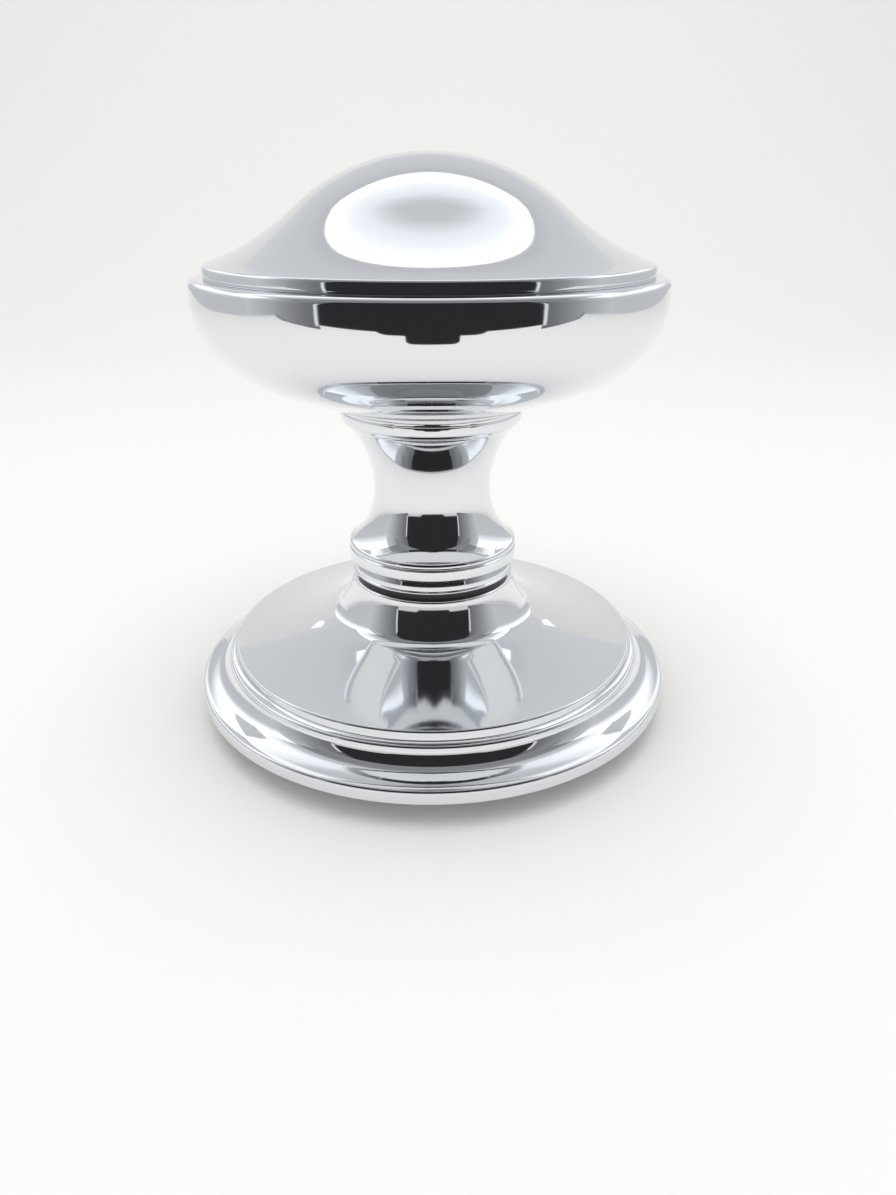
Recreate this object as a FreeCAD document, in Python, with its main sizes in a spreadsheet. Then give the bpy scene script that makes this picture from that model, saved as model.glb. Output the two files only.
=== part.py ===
import FreeCAD, Part
import math
import os
import Sketcher

# A turning door knob on a large round rose, standing on its back as it lies on a bench.
# Z runs along the spindle, out of the door. The origin is the middle of the spring case's back face.

doc = FreeCAD.newDocument("DoorKnob")

# ---------------------------------------------------------------- driving dimensions, in millimetres
SIZES = {
    # rose cover: a heavy turned shell
    "rose_stand": 4.8,           # how far the spring case stands out behind the rose
    "rose_radius": 46.0,
    "rose_wall": 2.6,
    "rim_band": 1.9,             # upright edge of the rose
    "rim_round": 0.6,
    "roll_width": 3.0,           # from the rim to where the edge roll meets the cove
    "cove_width": 2.6,
    "cove_rise": 2.5,
    "bead_depth": 1.1,
    "bead_round": 0.6,
    "ledge_width": 1.4,          # from the bead to the edge of the raised plate
    "ledge_rise": 0.3,
    "plate_rise": 9.1,           # edge of the raised plate
    "plate_step": 1.7,
    "plate_round": 0.5,
    "dish_rise": 4.4,            # how far the raised plate climbs to the hub
    "hub_flare": 4.7,            # how far the hub spreads at its foot
    "hub_flare_upper": 2.3,      # and how far at the top of the foot's fillet
    "hub_flare_rise": 1.7,
    "hub_rise": 21.1,
    "hub_lip": 3.4,              # width of the hub's flat top
    "hub_lip_under": 0.8,        # how far the lip's underside is relieved
    "hub_round": 0.5,
    "hub_gap": 0.6,              # radial room between the hub and the neck's spigot
    # nylon ring between hub and foot
    "ring_thick": 1.2,
    "ring_width": 2.3,
    "ring_play": 0.1,
    # mounting plate and the wire ring that clips the rose on
    "plate_thick": 2.5,
    "plate_land": 0.4,           # room between the plate's face and the rose
    "rim_width": 5.0,            # width of the rose's solid rim round the plate
    "seat_gap": 0.15,            # between the plate's edge and the rose
    "screw_hole": 2.25,
    "screw_count": 4,
    "screw_sink": 4.2,           # radius of the countersink
    "screw_land": 4.65,          # from the case's flange to the circle of door screws
    "clip_wire": 0.5,            # radius of the wire ring that clips the rose on
    "clip_rise": 1.4,
    "clip_gap_angle": 14.0,
    # spring case
    "case_wall": 1.5,
    "cover_thick": 1.2,
    "cover_gap": 0.5,            # between the cover and the end of the sleeve
    "pilot_step": 0.35,          # how much wider the case is where the plate holds it
    "pilot_clear": 0.4,          # how far that step stands behind the plate
    "flange_width": 5.35,
    "flange_thick": 1.2,
    "boss_wall": 1.6,
    "boss_drop": 5.5,            # from the top of the hub down to the case's boss
    "lug_radius": 1.9,
    "lug_bite": 0.2,             # how far a lug merges with the case's wall
    "lug_count": 3,
    "cover_screw": 1.0,          # radius of the cover screw's shank
    "cover_screw_head": 1.7,
    "cover_screw_long": 5.0,
    "cover_screw_sunk": 0.1,     # how far its head lies below the cover's face
    "screw_slot": 0.4,           # width of the slot in its head
    "rivet_land": 0.3,           # between the case's side and the rivets' heads
    "rivet_radius": 1.4,
    "rivet_head": 2.3,
    "rivet_count": 4,
    "fit_gap": 0.05,             # radial clearance of parts that are pushed together
    "run_gap": 0.05,             # radial clearance of the running bearing
    # bearing, spindle sleeve and cam
    "sleeve_radius": 9.0,
    "sleeve_edge": 0.5,          # chamfer at its end
    "sleeve_lift": 1.15,         # height of its end over the case's cover
    "sleeve_tail": 1.4,          # below the retaining ring
    "sleeve_flat": 1.2,          # depth of the two flats that drive the cam
    "bush_wall": 1.95,
    "bush_flange": 1.0,
    "bush_flange_width": 2.0,
    "washer_thick": 0.6,
    "washer_play": 0.05,
    "washer_bore_gap": 0.3,
    "washer_inset": 0.4,         # how much narrower the thrust washer is than the bush
    "socket_half": 4.05,         # half width of the square spindle socket
    "cam_thick": 2.5,
    "cam_rim": 2.5,
    "arm_half": 3.0,
    "arm_gap": 1.9,              # between the cam's arms and the case's lugs
    "tab_thick": 1.4,
    "tab_gap": 0.5,              # between the cam's tab and the spring post
    "circlip_thick": 1.2,
    "circlip_depth": 0.5,
    "circlip_rim": 2.2,
    "circlip_gap": 0.7,          # between the retaining ring and the cam's tab
    "circlip_gap_angle": 40.0,
    "turn_limit": 50.0,          # turn of the knob to either side, in degrees
    "stop_radius": 1.5,
    "stop_inset": 0.3,           # how far inside the arms' ends the stop pins stand
    "stop_play": 0.6,            # spare turn before an arm meets its pin, in degrees
    # return spring and its post
    "post_radius": 1.3,
    "post_gap": 0.2,             # how far the post reaches below the spring
    "spring_wire": 0.9,
    "spring_lift": 0.6,          # between the spring and the case's cover
    "spring_bend": 2.0,
    "spring_gap": 0.7,           # between the spring and the case's lugs
    "spring_touch": 0.05,        # between a leg and what it grips
    # neck of the knob
    "spigot_wall": 2.55,
    "foot_gap": 1.8,             # running gap between the hub and the foot
    "foot_recess": 2.2,
    "foot_lip": 0.4,
    "foot_band": 2.0,
    "quirk": 0.25,
    "shoulder_step": 0.5,
    "shoulder_rise": 1.5,
    "waist_wall": 1.85,          # wall of the neck's waist round the sleeve
    "waist_rise": 16.1,          # waist, collar and bowl seat stand this far above the foot
    "collar_rise": 27.6,
    "neck_long": 31.0,
    "collar_flare": 4.3,         # how much wider than the waist the neck is under its collar
    "small_ring": 0.85,          # height of each of the two thin rings under the collar
    "ring_step": 0.7,
    "collar_step": 0.6,
    "collar_round": 0.2,
    "grub_lift": 10.3,           # height of the grub screw above the foot
    "grub_radius": 2.5,
    "grub_proud": 0.3,           # how far its end stands outside the waist's radius
    "grub_key": 1.44,            # corner radius of the grub screw's hexagon
    "grub_key_depth": 2.5,
    "grub_gap": 0.2,             # between its point and the face of the spindle
    # tie screw that holds neck, bowl and crown together
    "tie_radius": 4.0,
    "tie_hole_gap": 0.25,
    "tie_head_radius": 6.5,
    "tie_head": 8.0,
    "tie_head_gap": 0.6,
    "tie_key": 3.46,             # corner radius of the tie screw's hexagon
    "tie_key_depth": 4.0,
    "tie_long": 25.0,
    "tie_ledge": 4.4,            # thickness of the ledge that the tie screw pulls on
    "tie_room": 1.9,             # between the tie screw's head and the sleeve
    "lock_washer": 1.6,
    "lock_washer_proud": 0.1,
    "lock_washer_turn": 350.0,
    "dowel_inset": 5.5,
    "dowel_radius": 1.5,
    "dowel_half": 2.5,
    "dowel_play": 0.2,
    # bowl of the knob's head
    "knob_radius": 40.0,
    "seat_step": 0.5,            # how far the bowl's seat stands out past the collar
    "cone_width": 11.0,          # from the widest girth in to the end of the bowl's cone
    "cone_rise": 4.5,
    "turn_width": 4.1,
    "turn_rise": 9.0,
    "bowl_high": 21.7,
    "belly_drop": 3.2,           # from the bowl's top down to its widest girth
    "lip_round": 1.2,
    "bowl_floor": 3.1,
    "bowl_wall": 3.0,
    "mouth_width": 5.5,
    # crown
    "brim_width": 2.4,           # how far the brim stays inside the bowl's girth
    "brim_band": 1.5,
    "brim_round": 0.5,
    "flare_radius": 22.5,
    "flare_rise": 10.2,
    "crown_high": 18.5,
    "crown_wall": 2.5,
    "crown_spigot": 2.2,
    "crown_spigot_wall": 2.4,
    "crown_boss_wall": 3.95,
    "crown_boss_gap": 0.2,
    "tap_depth": 2.0,            # drilled depth beyond the end of the tie screw
    "tap_cone": 1.5,
}

# How far an arc bows out of its chord, as a share of the chord.
QUARTER = math.tan(math.radians(90 / 4)) / 2
CROWNED = "crowned"
LEG_GRIP = 0.7                   # share of the cam's tab that the spring's legs lie along
HALF_BEND = 53                   # angle of the middle of a leg's bend, in degrees


def bow(degrees):
    """Bow of an arc that turns by this many degrees."""
    return math.tan(math.radians(degrees / 4)) / 2


class Size:
    """A value together with the spreadsheet expression that gives it."""

    def __init__(self, value, text):
        self.value = value
        self.text = text

    def __add__(self, other):
        other = as_size(other)
        return Size(self.value + other.value, f"({self.text} + {other.text})")

    def __sub__(self, other):
        other = as_size(other)
        return Size(self.value - other.value, f"({self.text} - {other.text})")

    def __mul__(self, other):
        other = as_size(other)
        return Size(self.value * other.value, f"({self.text} * {other.text})")

    def __truediv__(self, other):
        other = as_size(other)
        return Size(self.value / other.value, f"({self.text} / {other.text})")

    def __rmul__(self, other):
        return as_size(other) * self

    def __neg__(self):
        return Size(-self.value, f"(0 - {self.text})")


def as_size(term):
    return term if isinstance(term, Size) else Size(term, repr(float(term)))


def root(term):
    return Size(math.sqrt(term.value), f"sqrt({term.text})")


def cosine(term):
    return Size(math.cos(math.radians(term.value)), f"cos({term.text})")


def sine(term):
    return Size(math.sin(math.radians(term.value)), f"sin({term.text})")


def arcsine(term):
    return Size(math.degrees(math.asin(term.value)), f"(asin({term.text}) / 1 deg)")


class Sheet:
    """The spreadsheet of driving dimensions, read by name."""

    def __init__(self, sizes):
        self.cells = doc.addObject("Spreadsheet::Sheet", "Sizes")
        self.values = sizes
        for row, (name, number) in enumerate(sizes.items(), 1):
            self.cells.set(f"A{row}", name)
            self.cells.set(f"B{row}", str(number))
            self.cells.setAlias(f"B{row}", name)
        doc.recompute()

    def __getattr__(self, name):
        return Size(self.values[name], f"Sizes.{name}")


d = Sheet(SIZES)
back = d.rose_stand              # plane of the door's face


def at(rise):
    """Height of something that is measured from the door's face."""
    return back + rise


# ---------------------------------------------------------------- ways of making a piece
def origin_part(body, role):
    return next(feature for feature in body.Origin.OriginFeatures if feature.Role == role)


def new_body(label):
    body = doc.addObject("PartDesign::Body", label)
    body.Label = label
    return body


def new_sketch(body, name, role="XZ_Plane", lift=None):
    """A sketch on one of the body's own planes, lifted off it along the plane's normal."""
    sketch = body.newObject("Sketcher::SketchObject", f"{body.Name}_{name}")
    sketch.AttachmentSupport = (origin_part(body, role), [""])
    sketch.MapMode = "FlatFace"
    if lift is not None:
        sketch.setExpression("AttachmentOffset.Base.z", lift.text)
    return sketch


def bind(sketch, constraint, term):
    number = sketch.addConstraint(constraint)
    if isinstance(term, Size):
        sketch.setExpression(f"Constraints[{number}]", term.text)


def hold_point(sketch, piece, end, across, up):
    """Fix a point of the sketch by its distances from the sketch's two axes."""
    for kind, axis, term in (("DistanceX", -2, across), ("DistanceY", -1, up)):
        size = as_size(term)
        if size.value == 0:
            sketch.addConstraint(Sketcher.Constraint("PointOnObject", piece, end, axis))
        else:
            bind(sketch, Sketcher.Constraint(kind, piece, end, size.value), term)


def draw(sketch, corners):
    """Draw a closed outline through its corners.

    A corner is (across, up), or (across, up, bow) where an arc leads to it: the bow is a share of
    the chord, positive where the outline turns left along the arc. A bow of CROWNED is an arc that
    meets the centre line square, as a dome does.
    """
    first = sketch.GeometryCount
    ends = []
    for index, start in enumerate(corners):
        finish = corners[(index + 1) % len(corners)]
        x0, y0, x1, y1 = (as_size(term) for term in (*start[:2], *finish[:2]))
        tail = FreeCAD.Vector(x0.value, y0.value, 0)
        head = FreeCAD.Vector(x1.value, y1.value, 0)
        piece = first + index
        if len(finish) == 2:
            sketch.addGeometry(Part.LineSegment(tail, head), False)
            ends.append((1, 2))
            continue
        share = finish[2]
        if share == CROWNED:
            share = math.tan(math.atan2(y1.value - y0.value, x0.value - x1.value) / 2) / 2
        chord = root((x1 - x0) * (x1 - x0) + (y1 - y0) * (y1 - y0))
        radius = chord * ((0.25 + share * share) / (2 * abs(share)))
        run = head - tail
        left = FreeCAD.Vector(-run.y, run.x, 0).normalize()
        inward = (radius.value - abs(share) * chord.value) * math.copysign(1, share)
        centre = (tail + head) * 0.5 + left * inward
        begin, end = (tail, head) if share > 0 else (head, tail)
        angles = [math.atan2(point.y - centre.y, point.x - centre.x) for point in (begin, end)]
        if angles[1] <= angles[0]:
            angles[1] += 2 * math.pi
        circle = Part.Circle(centre, FreeCAD.Vector(0, 0, 1), radius.value)
        sketch.addGeometry(Part.ArcOfCircle(circle, *angles), False)
        ends.append((1, 2) if share > 0 else (2, 1))
        if finish[2] == CROWNED:
            sketch.addConstraint(Sketcher.Constraint("PointOnObject", piece, 3, -2))
        else:
            bind(sketch, Sketcher.Constraint("Radius", piece, radius.value), radius)
    for index, corner in enumerate(corners):
        following = (index + 1) % len(corners)
        sketch.addConstraint(Sketcher.Constraint(
            "Coincident", first + index, ends[index][1], first + following, ends[following][0]
        ))
        hold_point(sketch, first + index, ends[index][0], corner[0], corner[1])


def draw_axis(sketch, across):
    """An upright construction line that a piece off the centre line is turned about."""
    line = sketch.addGeometry(
        Part.LineSegment(FreeCAD.Vector(across.value, 0, 0), FreeCAD.Vector(across.value, 1, 0)), True
    )
    hold_point(sketch, line, 1, across, 0)
    hold_point(sketch, line, 2, across, 1.0)


def draw_circle(sketch, across, up, radius):
    centre = FreeCAD.Vector(as_size(across).value, as_size(up).value, 0)
    piece = sketch.addGeometry(Part.Circle(centre, FreeCAD.Vector(0, 0, 1), radius.value), False)
    bind(sketch, Sketcher.Constraint("Radius", piece, radius.value), radius)
    hold_point(sketch, piece, 3, across, up)


def draw_hexagon(sketch, across, up, radius):
    """A closed hexagon with a corner on each side of its centre."""
    corners = []
    for turn in range(6):
        angle = math.radians(60 * turn)
        corners.append((as_size(across) + radius * math.cos(angle), as_size(up) + radius * math.sin(angle)))
    draw(sketch, corners)


def rectangle(x0, x1, y0, y1):
    return [(x0, y0), (x1, y0), (x1, y1), (x0, y1)]


def turn_feature(body, kind, name, sketch, angle=None, axis="V_Axis"):
    feature = body.newObject(f"PartDesign::{kind}", f"{body.Name}_{name}")
    feature.Profile = sketch
    feature.ReferenceAxis = (sketch, [axis])
    feature.Angle = 360
    if angle is not None:
        feature.setExpression("Angle", angle.text)
    return feature


def turned(label, corners, angle=None):
    """A piece turned on a lathe about the knob's centre line."""
    body = new_body(label)
    sketch = new_sketch(body, "outline")
    draw(sketch, corners)
    turn_feature(body, "Revolution", "turned", sketch, angle)
    return body


def groove(body, name, corners):
    sketch = new_sketch(body, f"{name}_outline")
    draw(sketch, corners)
    return turn_feature(body, "Groove", name, sketch)


def pad(body, name, sketch, length, downwards=False):
    feature = body.newObject("PartDesign::Pad", f"{body.Name}_{name}")
    feature.Profile = sketch
    feature.Reversed = downwards
    feature.setExpression("Length", length.text)
    return feature


def pocket(body, name, sketch, length, into_normal=False):
    """A pocket that cuts against the sketch's normal, or along it."""
    feature = body.newObject("PartDesign::Pocket", f"{body.Name}_{name}")
    feature.Profile = sketch
    feature.Reversed = into_normal
    feature.setExpression("Length", length.text)
    return feature


def around(body, features, count):
    """Repeat features evenly about the knob's centre line."""
    pattern = body.newObject("PartDesign::PolarPattern", f"{features[0].Name}_pattern")
    pattern.Originals = features
    pattern.Axis = (origin_part(body, "Z_Axis"), [""])
    pattern.Angle = 360
    if isinstance(count, Size):
        pattern.setExpression("Occurrences", count.text)
    else:
        pattern.Occurrences = count
    body.Tip = pattern
    return pattern


def turned_off_centre(body, kind, name, circle, corners):
    """A round feature about an upright axis that stands on a circle round the centre line."""
    sketch = new_sketch(body, f"{name}_outline")
    draw(sketch, [(circle + corner[0], *corner[1:]) for corner in corners])
    draw_axis(sketch, circle)
    return turn_feature(body, kind, name, sketch, axis="Axis0")


# ---------------------------------------------------------------- heights and radii that pieces share
# Radii grow outwards from the spindle sleeve, first through the neck and then through the spring case.
neck_bore = d.sleeve_radius + d.fit_gap
sleeve_bore = d.sleeve_radius + d.run_gap
bush_radius = sleeve_bore + d.bush_wall
bush_flange_radius = bush_radius + d.bush_flange_width
boss_bore = bush_radius + d.fit_gap
boss_radius = boss_bore + d.boss_wall
spigot_radius = neck_bore + d.spigot_wall
hub_bore = spigot_radius + d.hub_gap
hub_radius = hub_bore + d.hub_lip
waist_radius = neck_bore + d.waist_wall
collar_radius = waist_radius + d.collar_flare + d.ring_step + d.collar_step
tie_hole = d.tie_radius + d.tie_hole_gap
dowel_circle = collar_radius - d.dowel_inset

circlip_reach = d.sleeve_radius + d.circlip_rim
tab_inner = circlip_reach + d.circlip_gap
ear_reach = tab_inner + d.tab_thick
post_circle = ear_reach + d.tab_gap + d.post_radius
spring_circle = post_circle + d.post_radius + d.spring_wire
lug_inner = spring_circle + d.spring_wire + d.spring_gap
lug_circle = lug_inner + d.lug_radius
case_room = lug_circle + d.lug_radius - d.lug_bite
case_radius = case_room + d.case_wall
case_hold = case_radius + d.pilot_step
flange_radius = case_radius + d.flange_width
rivet_circle = case_hold + d.rivet_land + d.rivet_head
screw_circle = flange_radius + d.screw_land
backplate_radius = d.rose_radius - d.rim_width
edge_seat = backplate_radius + d.seat_gap

# Heights in the case stack up from its cover, and those of the knob stack up from the hub.
spring_level = d.cover_thick + d.spring_lift + d.spring_wire
sleeve_low = d.cover_thick + d.sleeve_lift
circlip_low = sleeve_low + d.sleeve_tail
circlip_top = circlip_low + d.circlip_thick
cam_low = circlip_top + d.washer_play
cam_top = cam_low + d.cam_thick
cam_washer_low = cam_top + d.washer_play
case_roof = cam_washer_low + d.washer_thick + d.washer_play
case_roof_top = case_roof + d.case_wall
plate_face = at(d.plate_thick)
flange_top = plate_face + d.flange_thick
hub_top = at(d.hub_rise)
boss_top = hub_top - d.boss_drop
bush_top = boss_top + d.bush_flange
spigot_low = bush_top + d.washer_thick + d.washer_play
foot_low = hub_top + d.foot_gap
bowl_seat = foot_low + d.neck_long
floor_top = bowl_seat + d.bowl_floor
bowl_top = bowl_seat + d.bowl_high
tie_ledge = bowl_seat - d.tie_ledge
tie_top = tie_ledge - d.lock_washer
tie_low = tie_top - d.tie_head
tie_end = tie_top + d.tie_long
sleeve_top = tie_low - d.tie_room
grub_axis = foot_low + d.grub_lift
PAST = 1                         # how far a cut starts outside what it cuts

# ---------------------------------------------------------------- rose cover
# One heavy turned shell: upright rim, edge roll and cove, a bead, a raised plate and a flared hub.
roll_radius = d.rose_radius - d.roll_width
cove_radius = roll_radius - d.cove_width
plate_radius = cove_radius - d.ledge_width
plate_top = at(d.plate_rise)
ledge_top = plate_top - d.plate_step
bead_top = ledge_top - d.ledge_rise
bead_low = bead_top - d.bead_depth
roll_top = bead_low - d.cove_rise
hub_foot_radius = hub_radius + d.hub_flare
hub_foot_top = plate_top + d.dish_rise
hub_flare_top = hub_foot_top + d.hub_flare_rise
inner_plate = plate_radius - d.rose_wall
inner_hub = hub_foot_radius - d.rose_wall
dish_slope = d.dish_rise / (plate_radius - d.plate_round - hub_foot_radius)
lip_under = hub_top - d.rose_wall
rose = turned("rose_cover", [
    (edge_seat, back),
    (d.rose_radius, back),
    (d.rose_radius, at(d.rim_band)),
    (d.rose_radius - d.rim_round, at(d.rim_band + d.rim_round), QUARTER),
    (roll_radius, roll_top, bow(12)),
    (cove_radius, bead_low, -bow(52)),
    (cove_radius, bead_top - d.bead_round),
    (cove_radius - d.bead_round, bead_top, QUARTER),
    (plate_radius, ledge_top),
    (plate_radius, plate_top - d.plate_round),
    (plate_radius - d.plate_round, plate_top, QUARTER),
    (hub_foot_radius, hub_foot_top),
    (hub_radius + d.hub_flare_upper, hub_flare_top, -bow(48)),
    (hub_radius, hub_top - d.hub_round, -bow(22)),
    (hub_radius - d.hub_round, hub_top, QUARTER),
    (hub_bore, hub_top),
    (hub_bore, lip_under),
    (hub_radius - d.rose_wall + d.hub_lip_under, lip_under),
    (inner_hub - d.rose_wall, hub_flare_top - d.rose_wall / 2),
    (inner_hub, hub_foot_top - d.rose_wall),
    (inner_plate, hub_foot_top - d.rose_wall - dish_slope * (inner_plate - inner_hub)),
    (inner_plate, ledge_top - d.rose_wall),
    (edge_seat, plate_face + d.plate_land),
])
clip_circle = backplate_radius + d.seat_gap / 2
clip_slot = d.clip_wire + d.fit_gap
clip_level = at(d.clip_rise)
groove(rose, "clip_groove", rectangle(
    clip_circle, clip_circle + clip_slot, clip_level - clip_slot, clip_level + clip_slot
))

# ---------------------------------------------------------------- mounting plate
# A flat steel disc screwed to the door through four countersunk holes; the rose clips over its edge.
plate = turned("mounting_plate", rectangle(case_hold + d.fit_gap, backplate_radius, back, plate_face))
groove(plate, "clip_groove", rectangle(
    clip_circle - clip_slot, backplate_radius + PAST, clip_level - clip_slot, clip_level + clip_slot
))
screw_hole = turned_off_centre(plate, "Groove", "screw_hole", screw_circle, [
    (0, back - PAST),
    (d.screw_hole, back - PAST),
    (d.screw_hole, plate_face - (d.screw_sink - d.screw_hole)),
    (d.screw_sink, plate_face),
    (d.screw_sink, plate_face + PAST),
    (0, plate_face + PAST),
])
around(plate, [screw_hole], d.screw_count)
rivet_slope = d.rivet_head - d.rivet_radius
rivet_slot = turned_off_centre(plate, "Groove", "rivet_hole", rivet_circle, [
    (0, back - PAST),
    (d.rivet_head + d.fit_gap, back - PAST),
    (d.rivet_head + d.fit_gap, back),
    (d.rivet_radius + d.fit_gap, back + rivet_slope),
    (d.rivet_radius + d.fit_gap, plate_face + PAST),
    (0, plate_face + PAST),
])
around(plate, [rivet_slot], d.rivet_count)

# ---------------------------------------------------------------- rose clip ring
# A split ring of spring wire, half in the plate's groove and half in the rose's.
clip_body = new_body("rose_clip_ring")
clip_sketch = new_sketch(clip_body, "outline")
draw_circle(clip_sketch, clip_circle, clip_level, d.clip_wire)
turn_feature(clip_body, "Revolution", "turned", clip_sketch, as_size(360) - d.clip_gap_angle)

# ---------------------------------------------------------------- spring case
# A cup with a flange riveted to the front of the plate, and a boss that holds the bearing bush.
case = turned("spring_case", [
    (case_room, d.cover_thick),
    (case_radius, d.cover_thick),
    (case_radius, back - d.pilot_clear),
    (case_hold, back - d.pilot_clear),
    (case_hold, plate_face),
    (flange_radius, plate_face),
    (flange_radius, flange_top),
    (case_hold, flange_top),
    (case_room, case_roof_top),
    (boss_radius, case_roof_top),
    (boss_radius, boss_top),
    (boss_bore, boss_top),
    (boss_bore, case_roof),
    (case_room, case_roof),
])
lug_sketch = new_sketch(case, "lugs", "XY_Plane", d.cover_thick)
draw_circle(lug_sketch, lug_circle, 0, d.lug_radius)
lug = pad(case, "lug", lug_sketch, case_roof - d.cover_thick + d.case_wall / 2)
around(case, [lug], d.lug_count)
lug_hole_sketch = new_sketch(case, "lug_holes", "XY_Plane", d.cover_thick)
draw_circle(lug_hole_sketch, lug_circle, 0, d.cover_screw + d.fit_gap)
lug_hole = pocket(case, "lug_hole", lug_hole_sketch, d.cover_screw_long, into_normal=True)
around(case, [lug_hole], d.lug_count)
flange_hole_sketch = new_sketch(case, "flange_holes", "XY_Plane", plate_face - PAST)
draw_circle(flange_hole_sketch, rivet_circle, 0, d.rivet_radius + d.fit_gap)
flange_hole = pocket(case, "flange_hole", flange_hole_sketch, d.flange_thick + 2 * PAST, into_normal=True)
around(case, [flange_hole], d.rivet_count)

# Turning either way, an arm of the cam meets a stop pin; four pins share the load.
arm_reach = lug_inner - d.arm_gap
stop_circle = arm_reach - d.stop_radius - d.stop_inset
stop_angle = d.turn_limit + d.stop_play + arcsine((d.arm_half + d.stop_radius) / stop_circle)
stop_places = []
for side in (1, -1):
    for end in (1, -1):
        stop_places.append((stop_circle * cosine(stop_angle) * side, stop_circle * sine(stop_angle) * end))
pin_hole_sketch = new_sketch(case, "pin_holes", "XY_Plane", case_roof - PAST)
for across, up in stop_places:
    draw_circle(pin_hole_sketch, across, up, d.stop_radius + d.fit_gap)
draw_circle(pin_hole_sketch, 0, post_circle, d.post_radius + d.fit_gap)
pocket(case, "pin_holes_cut", pin_hole_sketch, d.case_wall + 2 * PAST, into_normal=True)

# ---------------------------------------------------------------- stop pins and spring post
stops = new_body("stop_pins")
stop_sketch = new_sketch(stops, "outline", "XY_Plane", cam_low)
for across, up in stop_places:
    draw_circle(stop_sketch, across, up, d.stop_radius)
pad(stops, "pins", stop_sketch, case_roof_top - cam_low)

post = new_body("spring_post")
post_low = spring_level - d.spring_wire - d.post_gap
post_sketch = new_sketch(post, "outline", "XY_Plane", post_low)
draw_circle(post_sketch, 0, post_circle, d.post_radius)
pad(post, "pin", post_sketch, case_roof_top - post_low)

# ---------------------------------------------------------------- case rivets
rivets = new_body("case_rivets")
rivet = turned_off_centre(rivets, "Revolution", "rivet", rivet_circle, [
    (0, back),
    (d.rivet_head, back),
    (d.rivet_radius, back + rivet_slope),
    (d.rivet_radius, flange_top),
    (d.rivet_head, flange_top),
    (d.rivet_radius, flange_top + rivet_slope, QUARTER),
    (0, flange_top + rivet_slope),
])
around(rivets, [rivet], d.rivet_count)

# ---------------------------------------------------------------- case cover and its screws
# The cover is the lowest face: the knob stands on it.
cover = turned("case_cover", rectangle(d.sleeve_radius + d.cover_gap, case_radius, 0, d.cover_thick))
head_low = d.cover_screw_sunk
head_top = head_low + d.cover_screw_head - d.cover_screw
cover_hole = turned_off_centre(cover, "Groove", "screw_hole", lug_circle, [
    (0, -PAST),
    (d.cover_screw_head + d.fit_gap, -PAST),
    (d.cover_screw_head + d.fit_gap, head_low),
    (d.cover_screw + d.fit_gap, head_top),
    (d.cover_screw + d.fit_gap, d.cover_thick + PAST),
    (0, d.cover_thick + PAST),
])
around(cover, [cover_hole], d.lug_count)

cover_screws = new_body("cover_screws")
cover_screw = turned_off_centre(cover_screws, "Revolution", "screw", lug_circle, [
    (0, head_low),
    (d.cover_screw_head, head_low),
    (d.cover_screw, head_top),
    (d.cover_screw, d.cover_screw_long),
    (0, d.cover_screw_long),
])
slot_sketch = new_sketch(cover_screws, "slot", "XY_Plane")
draw(slot_sketch, rectangle(
    lug_circle - d.cover_screw_head - PAST, lug_circle + d.cover_screw_head + PAST,
    -d.screw_slot / 2, d.screw_slot / 2,
))
screw_slot = pocket(cover_screws, "slot_cut", slot_sketch, head_top - head_low, into_normal=True)
around(cover_screws, [cover_screw, screw_slot], d.lug_count)

# ---------------------------------------------------------------- bearing bush and washers
# The bush is pushed into the boss; one washer runs on its flange and one under the case's roof.
turned("bearing_bush", [
    (sleeve_bore, case_roof),
    (bush_radius, case_roof),
    (bush_radius, boss_top),
    (bush_flange_radius, boss_top),
    (bush_flange_radius, bush_top),
    (sleeve_bore, bush_top),
])
washer_bore = d.sleeve_radius + d.washer_bore_gap
turned("thrust_washer", rectangle(
    washer_bore, bush_flange_radius - d.washer_inset, bush_top, bush_top + d.washer_thick
))
turned("cam_washer", rectangle(washer_bore, boss_radius, cam_washer_low, cam_washer_low + d.washer_thick))

# ---------------------------------------------------------------- nylon ring under the foot
ring_bore = hub_bore + d.ring_play
turned("hub_ring", rectangle(ring_bore, ring_bore + d.ring_width, hub_top, hub_top + d.ring_thick))

# ---------------------------------------------------------------- spindle sleeve
# A steel tube with a square socket, pressed into the neck; two flats at its end drive the cam.
circlip_bore = d.sleeve_radius - d.circlip_depth
sleeve = turned("spindle_sleeve", [
    (0, sleeve_low),
    (d.sleeve_radius - d.sleeve_edge, sleeve_low),
    (d.sleeve_radius, sleeve_low + d.sleeve_edge),
    (d.sleeve_radius, circlip_low - d.washer_play),
    (circlip_bore, circlip_low - d.washer_play),
    (circlip_bore, circlip_top + d.washer_play),
    (d.sleeve_radius, circlip_top + d.washer_play),
    (d.sleeve_radius, sleeve_top),
    (0, sleeve_top),
])
flat_reach = d.sleeve_radius - d.sleeve_flat
flat_sketch = new_sketch(sleeve, "flats", "XY_Plane", sleeve_low - PAST)
for side in (1, -1):
    draw(flat_sketch, rectangle(
        -(d.sleeve_radius + PAST), d.sleeve_radius + PAST, flat_reach * side, (d.sleeve_radius + PAST) * side
    ))
pocket(sleeve, "flats_cut", flat_sketch, cam_washer_low - sleeve_low + PAST, into_normal=True)
socket_sketch = new_sketch(sleeve, "socket", "XY_Plane", sleeve_low - PAST)
draw(socket_sketch, rectangle(-d.socket_half, d.socket_half, -d.socket_half, d.socket_half))
pocket(sleeve, "socket_cut", socket_sketch, sleeve_top - sleeve_low + 2 * PAST, into_normal=True)

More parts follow.
